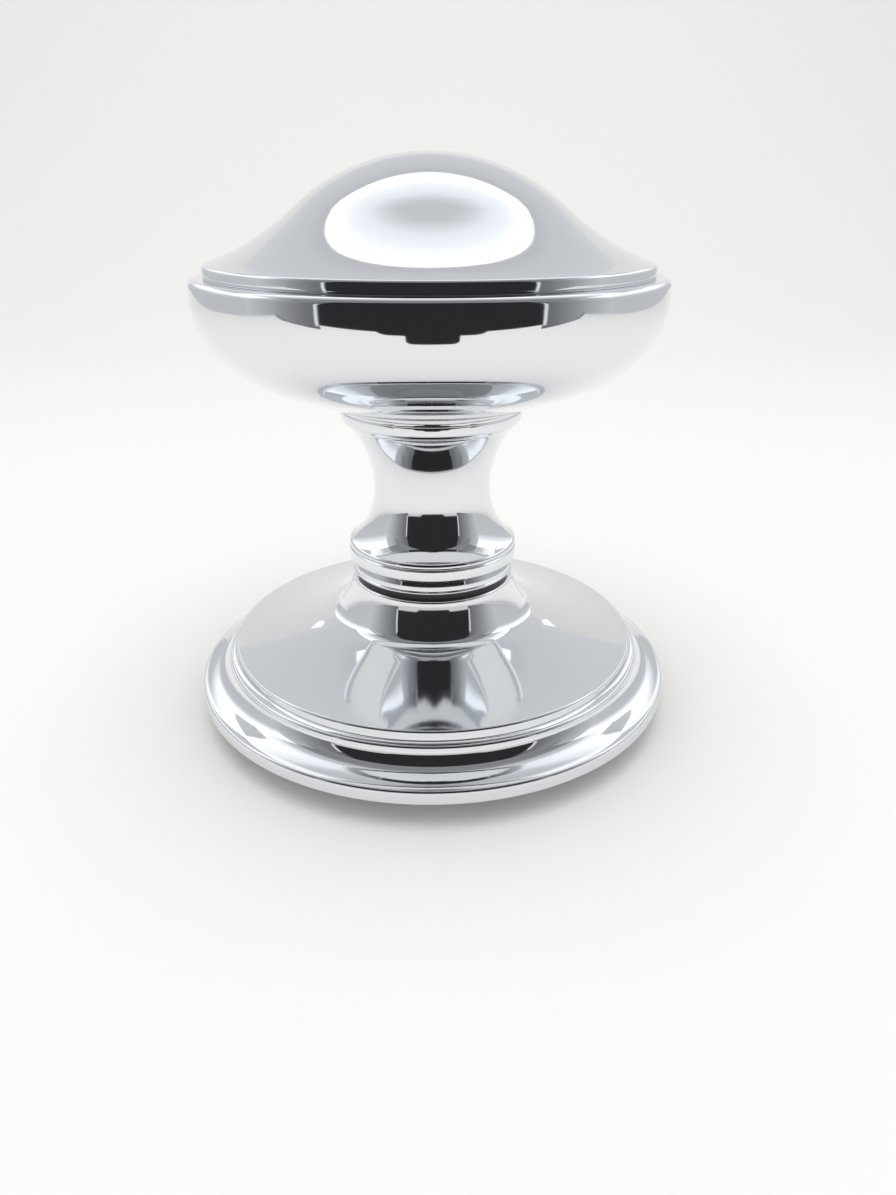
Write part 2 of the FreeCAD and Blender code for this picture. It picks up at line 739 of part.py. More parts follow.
# ---------------------------------------------------------------- drive cam
# Two arms meet the stops, and a tab under an ear pushes the spring's legs.
cam = new_body("drive_cam")
cam_sketch = new_sketch(cam, "disc", "XY_Plane", cam_low)
draw_circle(cam_sketch, 0, 0, d.sleeve_radius + d.cam_rim)
pad(cam, "disc_pad", cam_sketch, d.cam_thick)
arm_sketch = new_sketch(cam, "arms", "XY_Plane", cam_low)
draw(arm_sketch, rectangle(-arm_reach, arm_reach, -d.arm_half, d.arm_half))
pad(cam, "arms_pad", arm_sketch, d.cam_thick)
ear_sketch = new_sketch(cam, "ear", "XY_Plane", cam_low)
draw(ear_sketch, rectangle(-d.post_radius, d.post_radius, 0, ear_reach))
pad(cam, "ear_pad", ear_sketch, d.cam_thick)
tab_low = spring_level - d.spring_wire
tab_sketch = new_sketch(cam, "tab", "XY_Plane", tab_low)
draw(tab_sketch, rectangle(-d.post_radius, d.post_radius, tab_inner, ear_reach))
pad(cam, "tab_pad", tab_sketch, cam_top - tab_low)
flat_bore = flat_reach + d.fit_gap
chord_half = root(sleeve_bore * sleeve_bore - flat_bore * flat_bore)
bore_sketch = new_sketch(cam, "bore", "XY_Plane", cam_low - PAST)
side_turn = 2 * math.degrees(math.asin(flat_bore.value / sleeve_bore.value))
draw(bore_sketch, [
    (chord_half, -flat_bore),
    (chord_half, flat_bore, bow(side_turn)),
    (-chord_half, flat_bore),
    (-chord_half, -flat_bore, bow(side_turn)),
])
pocket(cam, "bore_cut", bore_sketch, d.cam_thick + 2 * PAST, into_normal=True)

# ---------------------------------------------------------------- retaining ring
turned("retaining_ring", rectangle(
    circlip_bore + d.fit_gap, circlip_reach, circlip_low, circlip_top
), as_size(360) - d.circlip_gap_angle)

# ---------------------------------------------------------------- return spring
# One open turn of wire. Its two legs grip the fixed post and the cam's tab between them.
leg = (d.post_radius + d.spring_wire + d.spring_touch).value
leg_end = (ear_reach - (ear_reach - tab_inner) * LEG_GRIP).value
ring = spring_circle.value
bend = d.spring_bend.value
bend_up = math.sqrt((ring - bend) ** 2 - (leg + bend) ** 2)
meet = FreeCAD.Vector(leg + bend, bend_up, 0) * (ring / (ring - bend))
halfway = math.radians(HALF_BEND)
top = FreeCAD.Vector(leg + bend, bend_up, 0) + FreeCAD.Vector(-math.cos(halfway), math.sin(halfway), 0) * bend


def spring_point(x, y, side=1):
    return FreeCAD.Vector(x * side, y, spring_level.value)


path = Part.Wire([
    Part.LineSegment(spring_point(leg, leg_end), spring_point(leg, bend_up)).toShape(),
    Part.Arc(spring_point(leg, bend_up), spring_point(top.x, top.y), spring_point(meet.x, meet.y)).toShape(),
    Part.Arc(
        spring_point(meet.x, meet.y), spring_point(0, -ring), spring_point(meet.x, meet.y, -1)
    ).toShape(),
    Part.Arc(
        spring_point(meet.x, meet.y, -1), spring_point(top.x, top.y, -1), spring_point(leg, bend_up, -1)
    ).toShape(),
    Part.LineSegment(spring_point(leg, bend_up, -1), spring_point(leg, leg_end, -1)).toShape(),
])
wire_end = Part.Circle(spring_point(leg, leg_end), FreeCAD.Vector(0, 1, 0), d.spring_wire.value)
spring = doc.addObject("Part::Feature", "return_spring")
spring.Label = "return_spring"
spring.Shape = path.makePipeShell([Part.Wire([wire_end.toShape()])], True, True)
spring.Placement = FreeCAD.Placement()

# ---------------------------------------------------------------- neck
# A solid turned column: spigot, foot with its running gap, waist, and a collar of three rings.
foot_radius = hub_radius + d.foot_lip
foot_top = foot_low + d.foot_recess + d.foot_band
shoulder_radius = foot_radius - d.shoulder_step
collar_low = foot_low + d.collar_rise
neck_top_radius = waist_radius + d.collar_flare
ring_radius = neck_top_radius + d.ring_step
tie_bore = d.tie_head_radius + d.tie_head_gap
neck = turned("neck", [
    (tie_hole, tie_ledge),
    (tie_bore, tie_ledge),
    (tie_bore, sleeve_top),
    (neck_bore, sleeve_top),
    (neck_bore, spigot_low),
    (spigot_radius, spigot_low),
    (spigot_radius, foot_low),
    (hub_radius, foot_low),
    (hub_radius - d.foot_lip, foot_low + d.foot_recess),
    (foot_radius, foot_low + d.foot_recess),
    (foot_radius, foot_top),
    (foot_radius - d.quirk, foot_top + d.quirk),
    (shoulder_radius, foot_top + d.shoulder_rise, bow(105)),
    (waist_radius, foot_low + d.waist_rise, -bow(49)),
    (neck_top_radius, collar_low, -bow(41)),
    (neck_top_radius, collar_low + d.small_ring, bow(100)),
    (ring_radius, collar_low + d.small_ring),
    (ring_radius, collar_low + d.small_ring * 2, bow(100)),
    (collar_radius - d.quirk, collar_low + d.small_ring * 2),
    (collar_radius, bowl_seat - d.collar_round, bow(80)),
    (collar_radius - d.collar_round, bowl_seat, QUARTER),
    (tie_hole, bowl_seat),
])
dowel_low = bowl_seat - d.dowel_half
neck_dowel_sketch = new_sketch(neck, "dowel_holes", "XY_Plane", dowel_low - d.dowel_play)
for side in (1, -1):
    draw_circle(neck_dowel_sketch, dowel_circle * side, 0, d.dowel_radius + d.fit_gap)
pocket(neck, "dowel_holes_cut", neck_dowel_sketch, d.dowel_half + PAST, into_normal=True)
neck_grub_sketch = new_sketch(neck, "grub_hole", "XZ_Plane")
draw_circle(neck_grub_sketch, 0, grub_axis, d.grub_radius + d.fit_gap)
pocket(neck, "grub_hole_cut", neck_grub_sketch, foot_radius + PAST)
sleeve_grub_sketch = new_sketch(sleeve, "grub_hole", "XZ_Plane")
draw_circle(sleeve_grub_sketch, 0, grub_axis, d.grub_radius + d.fit_gap)
pocket(sleeve, "grub_hole_cut", sleeve_grub_sketch, d.sleeve_radius + PAST)

# ---------------------------------------------------------------- grub screw
# It clamps the spindle through the side of the neck.
grub = new_body("grub_screw")
grub_inner = d.socket_half + d.grub_gap
grub_outer = waist_radius + d.grub_proud
grub_sketch = new_sketch(grub, "outline", "XZ_Plane", -grub_inner)
draw_circle(grub_sketch, 0, grub_axis, d.grub_radius)
pad(grub, "shank", grub_sketch, grub_outer - grub_inner, downwards=True)
key_sketch = new_sketch(grub, "key", "XZ_Plane", -grub_outer)
draw_hexagon(key_sketch, 0, grub_axis, d.grub_key)
pocket(grub, "key_cut", key_sketch, d.grub_key_depth, into_normal=True)

# ---------------------------------------------------------------- bowl
# A turned cup. Its floor sits on the neck's collar and its mouth takes the crown.
seat_radius = collar_radius + d.seat_step
cone_radius = d.knob_radius - d.cone_width
turn_radius = d.knob_radius - d.turn_width
mouth_radius = d.knob_radius - d.mouth_width
belly = bowl_top - d.belly_drop
bowl = turned("bowl", [
    (tie_hole, bowl_seat),
    (seat_radius, bowl_seat),
    (cone_radius, bowl_seat + d.cone_rise),
    (turn_radius, bowl_seat + d.turn_rise, bow(24.5)),
    (d.knob_radius, belly, bow(45)),
    (d.knob_radius, bowl_top - d.lip_round),
    (d.knob_radius - d.lip_round, bowl_top, QUARTER),
    (mouth_radius, bowl_top),
    (mouth_radius, belly),
    (turn_radius - d.bowl_wall, bowl_seat + d.turn_rise + d.bowl_wall, -bow(27)),
    (cone_radius - d.bowl_wall / 2, bowl_seat + d.cone_rise + d.bowl_wall, -bow(42)),
    (seat_radius, floor_top),
    (tie_hole, floor_top),
])
bowl_dowel_sketch = new_sketch(bowl, "dowel_holes", "XY_Plane", bowl_seat - PAST)
for side in (1, -1):
    draw_circle(bowl_dowel_sketch, dowel_circle * side, 0, d.dowel_radius + d.fit_gap)
pocket(bowl, "dowel_holes_cut", bowl_dowel_sketch, d.dowel_half + d.dowel_play + PAST, into_normal=True)

# ---------------------------------------------------------------- dowels that key the bowl to the neck
dowels = new_body("bowl_dowels")
dowel_sketch = new_sketch(dowels, "outline", "XY_Plane", dowel_low)
for side in (1, -1):
    draw_circle(dowel_sketch, dowel_circle * side, 0, d.dowel_radius)
pad(dowels, "pins", dowel_sketch, d.dowel_half * 2)

# ---------------------------------------------------------------- tie screw and its lock washer
# A socket head screw, put in from below, that pulls neck, bowl and crown together.
tie = turned("tie_screw", [
    (0, tie_low),
    (d.tie_head_radius, tie_low),
    (d.tie_head_radius, tie_top),
    (d.tie_radius, tie_top),
    (d.tie_radius, tie_end),
    (0, tie_end),
])
tie_key_sketch = new_sketch(tie, "key", "XY_Plane", tie_low)
draw_hexagon(tie_key_sketch, 0, 0, d.tie_key)
pocket(tie, "key_cut", tie_key_sketch, d.tie_key_depth, into_normal=True)
turned("lock_washer", rectangle(
    tie_hole, d.tie_head_radius + d.lock_washer_proud, tie_top, tie_ledge
), d.lock_washer_turn)

# ---------------------------------------------------------------- crown
# A hollow turned dome that sweeps down to a flared brim, with a tapped boss inside.
crown_top = bowl_top + d.crown_high
flare_top = bowl_top + d.flare_rise
dome_high = d.crown_high - d.flare_rise
dome_radius = (d.flare_radius * d.flare_radius + dome_high * dome_high) / (2 * dome_high)
dome_centre = crown_top - dome_radius
inner_dome = dome_radius - d.crown_wall
boss_thread = d.tie_radius + d.fit_gap
crown_boss = boss_thread + d.crown_boss_wall
inner_share = inner_dome / dome_radius
under_brim = mouth_radius - d.fit_gap
spigot_inner = under_brim - d.crown_spigot_wall
brim_radius = d.knob_radius - d.brim_width
boss_low = floor_top + d.crown_boss_gap
dome_turn = math.degrees(
    math.asin(d.flare_radius.value / dome_radius.value) - math.asin(crown_boss.value / inner_dome.value)
)
crown = turned("crown", [
    (boss_thread, boss_low),
    (crown_boss, boss_low),
    (crown_boss, dome_centre + root(inner_dome * inner_dome - crown_boss * crown_boss)),
    (d.flare_radius * inner_share, dome_centre + (flare_top - dome_centre) * inner_share, -bow(dome_turn)),
    (spigot_inner, bowl_top + d.brim_band, bow(18)),
    (spigot_inner, bowl_top - d.crown_spigot),
    (under_brim, bowl_top - d.crown_spigot),
    (under_brim, bowl_top),
    (brim_radius, bowl_top),
    (brim_radius, bowl_top + d.brim_band),
    (brim_radius - d.brim_round, bowl_top + d.brim_band + d.brim_round, bow(72)),
    (d.flare_radius, flare_top, -bow(22)),
    (0, crown_top, CROWNED),
    (0, tie_end + d.tap_depth),
    (boss_thread, tie_end + d.tap_depth - d.tap_cone),
])

# ---------------------------------------------------------------- build, check and write
doc.recompute()
pieces = [item for item in doc.Objects if item.TypeId == "PartDesign::Body"] + [spring]
for item in doc.Objects:
    if "Invalid" in item.State or "Error" in item.State:
        raise RuntimeError(f"{item.Name} failed: {item.State}")
os.makedirs("parts", exist_ok=True)
for piece in pieces:
    if piece.Shape.isNull() or not piece.Shape.isValid() or piece.Shape.Volume <= 0:
        raise RuntimeError(f"{piece.Label} has no valid shape")
for piece in pieces:
    piece.Shape.exportStep(f"parts/{piece.Label}.step")
    print(f"{piece.Label:18s} {len(piece.Shape.Solids)} solid(s) {piece.Shape.Volume:10.1f} mm3")
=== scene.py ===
import math

import bmesh
import bpy
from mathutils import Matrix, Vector


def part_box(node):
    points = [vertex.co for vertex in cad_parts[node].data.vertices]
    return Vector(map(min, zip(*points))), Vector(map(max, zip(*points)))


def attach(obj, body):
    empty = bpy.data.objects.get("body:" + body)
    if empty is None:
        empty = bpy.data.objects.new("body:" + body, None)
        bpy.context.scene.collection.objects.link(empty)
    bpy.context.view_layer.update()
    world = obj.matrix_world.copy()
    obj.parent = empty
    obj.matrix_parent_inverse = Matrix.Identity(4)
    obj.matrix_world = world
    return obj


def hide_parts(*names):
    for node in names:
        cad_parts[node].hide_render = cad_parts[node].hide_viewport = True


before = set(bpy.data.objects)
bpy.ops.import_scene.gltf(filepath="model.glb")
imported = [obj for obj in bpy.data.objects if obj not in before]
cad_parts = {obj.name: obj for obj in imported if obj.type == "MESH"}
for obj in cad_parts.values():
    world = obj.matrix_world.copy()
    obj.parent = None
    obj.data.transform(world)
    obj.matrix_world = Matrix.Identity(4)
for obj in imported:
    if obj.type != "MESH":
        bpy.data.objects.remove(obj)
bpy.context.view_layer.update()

# Mounting plate, spring case, cover and drive cam, and the tie screw with its washer: steel, pressed
# or turned. Zinc plating leaves them bright and a little cloudy, with a faint tint from passivating.


def new_material(name):
    """Start a material, and give it with its node tree and its shader."""
    material = bpy.data.materials.new(name)
    material.use_nodes = True
    shader = material.node_tree.nodes["Principled BSDF"]
    return material, material.node_tree, shader


def add_node(tree, kind, **sockets):
    """Add a shader node with its sockets set by name."""
    node = tree.nodes.new(kind)
    for socket, value in sockets.items():
        node.inputs[socket].default_value = value
    return node


def vary_gloss(tree, pattern, shader, smoothest, roughest):
    """Let a pattern run the roughness between two values."""
    gloss = add_node(tree, "ShaderNodeMapRange")
    gloss.inputs["To Min"].default_value = smoothest
    gloss.inputs["To Max"].default_value = roughest
    tree.links.new(pattern.outputs["Fac"], gloss.inputs["Value"])
    tree.links.new(gloss.outputs["Result"], shader.inputs["Roughness"])


def raise_grain(tree, pattern, shader, strength, depth):
    """Let a pattern raise the surface; the depth is in metres."""
    relief = add_node(tree, "ShaderNodeBump", Strength=strength, Distance=depth)
    tree.links.new(pattern.outputs["Fac"], relief.inputs["Height"])
    tree.links.new(relief.outputs["Normal"], shader.inputs["Normal"])


def cloud_colour(tree, place, shader, scale, detail, darker, lighter, start=0.0, end=1.0):
    """Drift the colour between two tones in soft clouds."""
    cloud = add_node(tree, "ShaderNodeTexNoise", Scale=scale, Detail=detail)
    tree.links.new(place, cloud.inputs["Vector"])
    tint = tree.nodes.new("ShaderNodeValToRGB")
    tint.color_ramp.elements[0].position = start
    tint.color_ramp.elements[1].position = end
    tint.color_ramp.elements[0].color = (*darker, 1)
    tint.color_ramp.elements[1].color = (*lighter, 1)
    tree.links.new(cloud.outputs["Fac"], tint.inputs["Fac"])
    tree.links.new(tint.outputs["Color"], shader.inputs["Base Color"])


def metal(name, colour, smoothest, roughest, grain, bump, mottle, mottle_scale, stretch=(1, 1, 1)):
    """A bare or plated metal: its colour clouds a little, and its grain runs through gloss and bump."""
    material, tree, shader = new_material(name)
    place = add_node(tree, "ShaderNodeTexCoord").outputs["Object"]
    turned = add_node(tree, "ShaderNodeMapping")
    turned.inputs["Scale"].default_value = stretch
    tree.links.new(place, turned.inputs["Vector"])
    lines = add_node(tree, "ShaderNodeTexNoise", Scale=grain, Detail=4.0)
    tree.links.new(turned.outputs["Vector"], lines.inputs["Vector"])
    vary_gloss(tree, lines, shader, smoothest, roughest)
    raise_grain(tree, lines, shader, strength=bump, depth=0.00005)
    darker = [part * (1 - mottle) for part in colour]
    lighter = [min(1, part * (1 + mottle)) for part in colour]
    cloud_colour(
        tree, place, shader, scale=mottle_scale, detail=3.0, darker=darker, lighter=lighter, start=0.3, end=0.7,
    )
    shader.inputs["Metallic"].default_value = 1.0
    return material


def dress(material, *nodes):
    """Give CAD nodes their finish."""
    for node in nodes:
        piece = bpy.data.objects[node]
        piece.data.materials.clear()
        piece.data.materials.append(material)


zinc = metal(
    "zinc_steel", colour=(0.62, 0.63, 0.64), smoothest=0.26, roughest=0.42, grain=900.0, bump=0.25,
    mottle=0.10, mottle_scale=60.0,
)
zinc.node_tree.nodes["Principled BSDF"].inputs["Coat Weight"].default_value = 0.15
dress(zinc, "mounting_plate", "spring_case", "case_cover", "drive_cam", "tie_screw", "lock_washer")

# Spindle sleeve, stop pins, spring post, rivets, dowels and washers: steel drawn or turned to size and
# left bright. Its fine lines lie round the piece, as the lathe leaves them.
bright = metal(
    "bright_steel", colour=(0.60, 0.59, 0.58), smoothest=0.16, roughest=0.34, grain=420.0, bump=0.35,
    mottle=0.06, mottle_scale=90.0, stretch=(1, 1, 9),
)
dress(bright, "spindle_sleeve", "stop_pins", "spring_post", "case_rivets", "bowl_dowels")
dress(bright, "thrust_washer", "cam_washer")

# Grub screw, cover screws and retaining ring: hardened steel under a skin of black oxide.
# Tools and handling have worn it a little brighter in places.
dark = metal(
    "dark_steel", colour=(0.045, 0.045, 0.05), smoothest=0.32, roughest=0.55, grain=700.0, bump=0.3,
    mottle=0.35, mottle_scale=220.0,
)
dress(dark, "grub_screw", "cover_screws", "retaining_ring")

# Return spring and the rose's clip ring: hard drawn spring wire, bent cold and then tempered.
# It keeps its fine draw marks and the straw tint of the oven.
wire = metal(
    "spring_steel", colour=(0.36, 0.33, 0.29), smoothest=0.24, roughest=0.40, grain=520.0, bump=0.3,
    mottle=0.18, mottle_scale=140.0,
)
dress(wire, "return_spring", "rose_clip_ring")

# Bearing bush and hub ring: nylon. The white flanged bush is pushed into the case's boss and carries
# the spindle sleeve. The ring lies on the hub, in the running gap under the neck's foot; its near-black colour
# is painted shadow for that gap.


def nylon(name, colour):
    """Moulded or turned nylon: a waxy skin over a slightly cloudy body, finely grained."""
    material, tree, shader = new_material(name)
    place = add_node(tree, "ShaderNodeTexCoord").outputs["Object"]
    grain = add_node(tree, "ShaderNodeTexNoise", Scale=1400.0, Detail=2.0)
    tree.links.new(place, grain.inputs["Vector"])
    raise_grain(tree, grain, shader, strength=0.25, depth=0.00003)
    vary_gloss(tree, grain, shader, smoothest=0.34, roughest=0.50)
    shaded = [part * 0.85 for part in colour]
    cloud_colour(tree, place, shader, scale=130.0, detail=2.0, darker=shaded, lighter=colour)
    shader.inputs["Specular IOR Level"].default_value = 0.45
    return material


dress(nylon("white_nylon", (0.80, 0.79, 0.74)), "bearing_bush")
# The hub ring's near-black colour is painted shadow: it stands for the dark running gap under the neck's foot.
dress(nylon("black_nylon", (0.030, 0.032, 0.036)), "hub_ring")

# Rose cover: a heavy shell turned from brass bar, then polished and chromium plated all over.
# Its solid rim clips over the mounting plate, and its flared hub surrounds the foot of the neck.
MM = 0.001
TURNS = 288                     # facets round a turned piece
ARC_STEP = 3.0                  # degrees of arc for each facet of a profile
EDGE_STEPS = 3                  # facets across a polished edge
CREASE = math.radians(32)       # an edge sharper than this stays crisp
SAME_POINT = 1e-7               # metres


def draw_profile(mesh, corners, edge_round):
    """Draw a closed half section in millimetres: (radius, height), or (radius, height, turn) after an arc.

    The turn is in degrees, positive where the outline turns left. Corners with no arc beside them get
    the small round that polishing leaves, except the first one and those on the spindle's line.
    """
    start = mesh.verts.new((corners[0][0] * MM, 0, corners[0][1] * MM))
    tip = start
    sharp = []
    for index, corner in enumerate(corners[1:] + corners[:1]):
        goal = Vector((corner[0] * MM, 0, corner[1] * MM))
        if len(corner) == 3:
            chord = goal - tip.co
            half = math.radians(corner[2]) / 2
            left = Vector((-chord.z, 0, chord.x))
            centre = (tip.co + goal) / 2 + left / (2 * math.tan(half))
            steps = max(2, round(abs(corner[2]) / ARC_STEP))
            swept = bmesh.ops.spin(
                mesh, geom=[tip], cent=centre, axis=(0, -1, 0), angle=2 * half, steps=steps,
                use_merge=False, use_duplicate=False,
            )
            tip = next(item for item in swept["geom_last"] if isinstance(item, bmesh.types.BMVert))
            tip.co = goal
        elif index < len(corners) - 1:
            tip = bmesh.ops.extrude_vert_indiv(mesh, verts=[tip])["verts"][0]
            tip.co = goal
        else:
            mesh.edges.new((tip, start))
            continue
        following = corners[(index + 2) % len(corners)]
        if len(corner) == 2 and len(following) == 2:
            sharp.append(tip)
    bmesh.ops.bevel(
        mesh, geom=[point for point in sharp if point.co.x > SAME_POINT], offset=edge_round * MM,
        offset_type="OFFSET", segments=EDGE_STEPS, profile=0.5, affect="VERTICES", material=-1,
    )


def turn_piece(name, corners, material, body, edge_round=0.12):
    """Turn a closed half section about the spindle's line, and hang the piece on its body."""
    mesh = bmesh.new()
    draw_profile(mesh, corners, edge_round)
    bmesh.ops.spin(
        mesh, geom=mesh.verts[:] + mesh.edges[:], cent=(0, 0, 0), axis=(0, 0, 1), angle=2 * math.pi,
        steps=TURNS, use_merge=True,
    )
    bmesh.ops.remove_doubles(mesh, verts=mesh.verts, dist=SAME_POINT)
    on_axis = [edge for edge in mesh.edges if edge.is_wire]
    bmesh.ops.delete(mesh, geom=on_axis, context="EDGES")
    bmesh.ops.recalc_face_normals(mesh, faces=mesh.faces)
    for face in mesh.faces:
        face.smooth = True
    for edge in mesh.edges:
        edge.smooth = edge.calc_face_angle() < CREASE
    data = bpy.data.meshes.new(name)
    mesh.to_mesh(data)
    mesh.free()
    piece = bpy.data.objects.new(name, data)
    bpy.context.scene.collection.objects.link(piece)
    data.materials.append(material)
    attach(piece, body)
    return piece


def polished_chrome():
    """Bright chromium: a cool mirror with a faint swell from the mop and a little haze."""
    material, tree, shader = new_material("polished_chrome")
    place = add_node(tree, "ShaderNodeTexCoord").outputs["Object"]
    swell = add_node(tree, "ShaderNodeTexNoise", Scale=38.0, Detail=1.0)
    tree.links.new(place, swell.inputs["Vector"])
    raise_grain(tree, swell, shader, strength=0.15, depth=0.0006)
    haze = add_node(tree, "ShaderNodeTexNoise", Scale=260.0, Detail=3.0)
    tree.links.new(place, haze.inputs["Vector"])
    vary_gloss(tree, haze, shader, smoothest=0.035, roughest=0.075)
    shader.inputs["Base Color"].default_value = (0.80, 0.815, 0.835, 1)
    shader.inputs["Metallic"].default_value = 1.0
    return material


chrome = polished_chrome()
low, high = (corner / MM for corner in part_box("rose_cover"))
rose_radius, rose_low, hub_top = high.x, low.z, high.z
rim_bore = rose_radius - 4.85
rim_side = rose_low + 1.9           # top of the rim's straight side
rim_round = 0.6
slope_width = 3.0                   # the rim's sloping top, outside the cove
slope_top = rose_low + 3.5
bead = rose_radius - 5.6            # radius of the bead over the cove
bead_low = rose_low + 6.0
bead_top = rose_low + 7.1
bead_round = 0.6
plate = rose_radius - 7.0           # radius of the raised plate
plate_low = rose_low + 7.4
plate_top = rose_low + 9.1
plate_round = 0.5
hub = 15.6                          # radius of the hub's mouth
hub_round = 0.5
hub_bore = 12.2
hub_lip = 2.6                       # depth of that bore
hub_wall = 1.8
flare_wide = hub + 4.7              # where the dished plate ends and the hub's flare begins
flare_low = rose_low + 13.5
flare_bend = hub + 2.3
flare_rise = rose_low + 15.2
rose_wall = 2.6
hollow_low = rose_low + 2.9         # levels of the hollow, from the rim's bore to the hub's
hollow_side = rose_low + 4.8
hollow_shoulder = rose_low + 6.5
hollow_bend = rose_low + 10.9
hollow_throat = rose_low + 13.9
bend_radius = hub + 2.1
throat_radius = hub - 0.5
rose_skin = turn_piece("rose_cover_skin", [
    (rim_bore, rose_low),
    (rose_radius, rose_low),
    (rose_radius, rim_side),
    (rose_radius - rim_round, rim_side + rim_round, 90),
    (rose_radius - slope_width, slope_top, 12),
    (bead, bead_low, -52),
    (bead, bead_top - bead_round),
    (bead - bead_round, bead_top, 90),
    (plate, plate_low),
    (plate, plate_top - plate_round),
    (plate - plate_round, plate_top, 90),
    (flare_wide, flare_low, -20),
    (flare_bend, flare_rise, -48),
    (hub, hub_top - hub_round, -22),
    (hub - hub_round, hub_top, 90),
    (hub_bore, hub_top),
    (hub_bore, hub_top - hub_lip),
    (hub - hub_wall, hub_top - hub_lip),
    (throat_radius, hollow_throat),
    (bend_radius, hollow_bend),
    (plate - rose_wall, hollow_shoulder),
    (plate - rose_wall, hollow_side),
    (rim_bore, hollow_low),
], chrome, "rose")
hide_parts("rose_cover")

# Neck: one solid turned brass column, polished and chromium plated, with its foot ring and collar.
# The spindle sleeve is pushed into it, and the tie screw pulls the bowl down on its collar.
low, high = (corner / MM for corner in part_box("neck"))
neck_low, seat = low.z, high.z      # its end inside the rose, and the face that the bowl sits on
foot = hub_top + 1.8                # level of the foot's underside
tie_bore = 4.25
head_room = 7.1                     # bore for the tie screw's head
web = 4.4                           # thickness of metal that the screw's head pulls on
sleeve_bore = 9.05
sleeve_end = foot + 15.1
tail = 11.6                         # radius of the stub inside the rose
lip = hub - 0.15                    # the small lip under the foot
lip_low = foot - 0.45
lip_side = 0.35
drum = lip - 0.25                   # the plain drum between lip and ring, a shade wider at its top
drum_low = foot + 0.1
drum_taper = 0.15
ring = hub + 0.4                    # the foot's plain ring
ring_low = foot + 2.2
ring_top = foot + 4.2
ring_edge = 0.25
swell_top = foot + 5.7              # top of the rounded bead over the ring
flare = 12.3                        # where the foot's first, tighter curve ends
flare_level = foot + 9.4
waist = 10.9
waist_level = foot + 15.6
collar_throat = 15.1                # where the curve up from the waist meets the collar
collar_low = foot + 27.4
step_out = 0.25                     # the small step under the collar
step_up = 0.2
collar = 16.45                      # radius of the collar's rounded bead
collar_mid = foot + 29.4
groove = 0.15                       # the fine groove over the bead
groove_low = seat - 0.9
top_round = 0.35
neck_skin = turn_piece("neck_skin", [
    (tie_bore, seat - web),
    (head_room, seat - web),
    (head_room, sleeve_end),
    (sleeve_bore, sleeve_end),
    (sleeve_bore, neck_low),
    (tail, neck_low),
    (tail, lip_low),
    (lip, lip_low),
    (lip, lip_low + lip_side),
    (drum, drum_low),
    (drum + drum_taper, ring_low),
    (ring, ring_low),
    (ring, ring_top),
    (ring - ring_edge, ring_top + ring_edge),
    (ring - 2 * ring_edge, swell_top, 105),
    (flare, flare_level, -30),
    (waist, waist_level, -25.5),
    (collar_throat, collar_low, -41),
    (collar_throat + step_out, collar_low + step_up),
    (collar, collar_mid, 62),
    (collar, groove_low),
    (collar - groove, groove_low + groove),
    (collar - groove, seat - top_round),
    (collar - groove - top_round, seat, 90),
    (tie_bore, seat),
], chrome, "knob", edge_round=0.08)
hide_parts("neck")

# Bowl: the cup of the knob's head, turned from brass, polished and chromium plated. It sits on the
# neck's collar, and the crown's spigot drops into its mouth.
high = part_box("bowl")[1] / MM
knob_radius, bowl_top = high.x, high.z
base = 17.0                         # radius of the flat round the tie screw
base_wall = 3.1
cone = knob_radius - 11.0           # where the plain cone round the base turns into the belly
cone_level = seat + 4.5
belly = knob_radius - 4.1
belly_level = seat + 9.0
side_low = bowl_top - 3.2           # where the belly's curve runs out into the straight side
lip_round = 1.2
mouth = knob_radius - 5.5
mouth_depth = 3.2
inner_cone = knob_radius - 12.5     # the hollow's own two turning points
inner_cone_level = seat + 7.5
inner_side = knob_radius - 7.1
inner_side_level = seat + 12.0
bowl_skin = turn_piece("bowl_skin", [
    (tie_bore, seat),
    (base, seat),
    (cone, cone_level),
    (belly, belly_level, 24.5),
    (knob_radius, side_low, 45),
    (knob_radius, bowl_top - lip_round),
    (knob_radius - lip_round, bowl_top, 90),
    (mouth, bowl_top),
    (mouth, bowl_top - mouth_depth),
    (inner_side, inner_side_level, -27),
    (inner_cone, inner_cone_level, -42),
    (base, seat + base_wall),
    (tie_bore, seat + base_wall),
], chrome, "knob")
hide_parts("bowl")

# Crown: the domed cap of the head, turned from brass, hollowed, polished and chromium plated.
# It has a flared brim, and a tapped boss inside that the tie screw pulls on.
crown_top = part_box("crown")[1].z / MM
tap_bore = 4.05
tap_end = seat + 19.5
tap_point = 1.4                     # depth of the cone that the drill leaves
boss = 8.0
boss_low = seat + 3.3
boss_high = crown_top - 3.46        # where the boss runs into the dome
brim = knob_radius - 2.4
brim_side = bowl_top + 1.5
brim_round = 0.5
spigot = brim - 3.15
spigot_wall = 2.4
spigot_low = bowl_top - 2.2
shoulder = 22.5                     # where the dome's curve turns into the brim's flare
shoulder_level = bowl_top + 10.2
dome_wall_in = 1.62                 # from there to the hollow's own turning point
dome_wall_down = 2.11
crown_skin = turn_piece("crown_skin", [
    (tap_bore, boss_low),
    (boss, boss_low),
    (boss, boss_high),
    (shoulder - dome_wall_in, shoulder_level - dome_wall_down, -27),
    (spigot - spigot_wall, brim_side, 18),
    (spigot - spigot_wall, spigot_low),
    (spigot, spigot_low),
    (spigot, bowl_top),
    (brim, bowl_top),
    (brim, brim_side),
    (brim - brim_round, brim_side + brim_round, 72),
    (shoulder, shoulder_level, -22),
    (0, crown_top, 40.5),
    (0, tap_end + tap_point),
    (tap_bore, tap_end),
], chrome, "knob")
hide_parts("crown")

# Light tent: plain glowing panels of white cloth, with an open dark front where one looks in.
# Only glossy surfaces see them, so they shape the reflections and light nothing.


